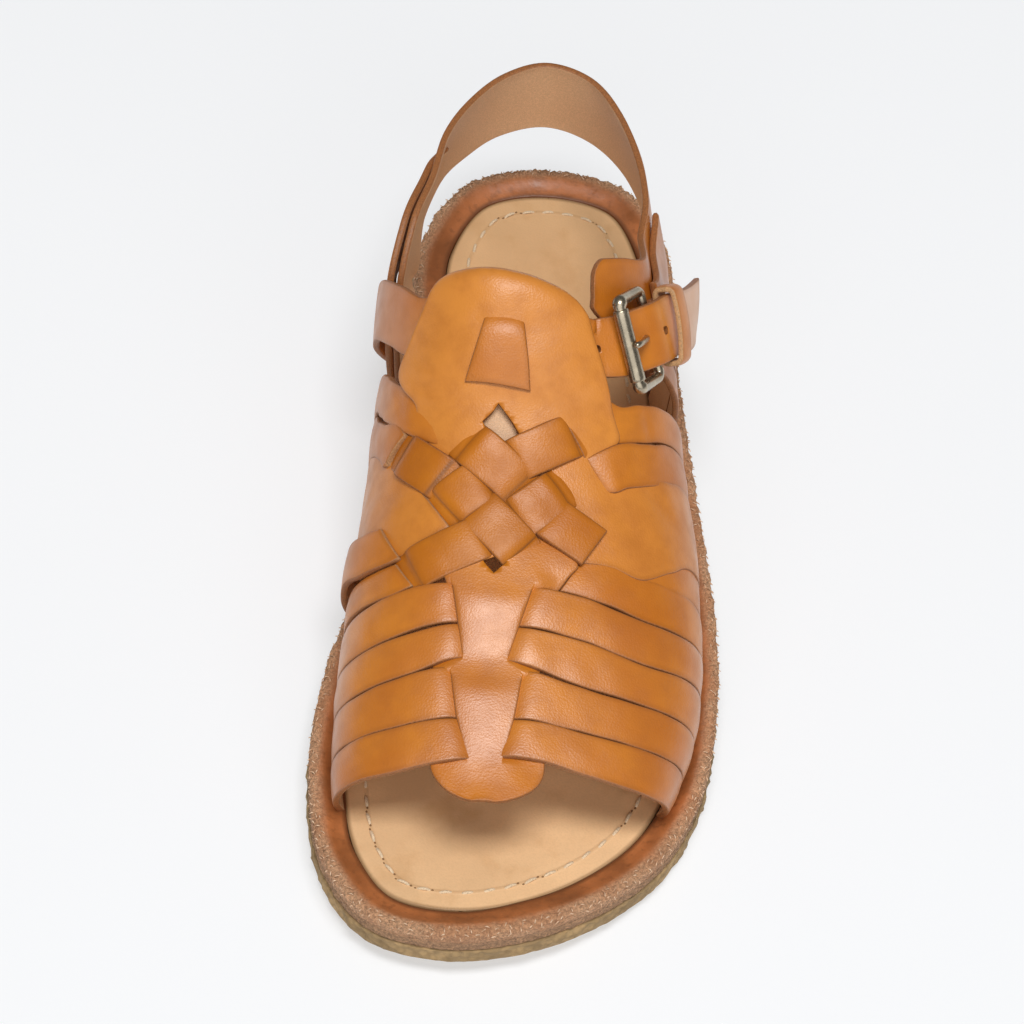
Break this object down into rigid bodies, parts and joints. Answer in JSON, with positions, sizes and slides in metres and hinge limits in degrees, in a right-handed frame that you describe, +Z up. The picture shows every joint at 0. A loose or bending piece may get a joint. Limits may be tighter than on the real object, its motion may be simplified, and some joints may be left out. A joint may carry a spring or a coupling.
{
  "type": "roman sandal",
  "caption": "Woven leather roman sandal for the left foot, with a strapped open-toe vamp, folded tongue, buckled ankle strap, sling-back heel strap and layered crepe sole with a raised rand.",
  "frame": {"origin": "centre of the bounding box seen from above, on the floor that the sole stands on", "axes": "+Z up, toe towards -Y, outer side of the left foot towards +X"},
  "size_m": [0.1178, 0.28, 0.1034],
  "materials": {
    "crepe": "matt, rough cut edge",
    "midsole_leather": "smooth cut edge",
    "rand_leather": "raw rim with a waxed inner slope",
    "insole_leather": "pale, smooth, matt",
    "strap_leather": "tan, smooth, satin",
    "buckle_brass": "antique, worn bright on the roller"
  },
  "bodies": {
    "root": {"heel_lift": "crepe", "outsole": "crepe", "midsole": "midsole_leather", "rand": "rand_leather", "insole": "insole_leather", "upper": "strap_leather", "heel_strap": "strap_leather", "quarter_strap": "strap_leather", "ankle_strap": "strap_leather", "keeper_loop": "strap_leather", "buckle_frame": "buckle_brass", "buckle_roller": "buckle_brass", "buckle_prong": "buckle_brass"}
  },
  "joints": []
}
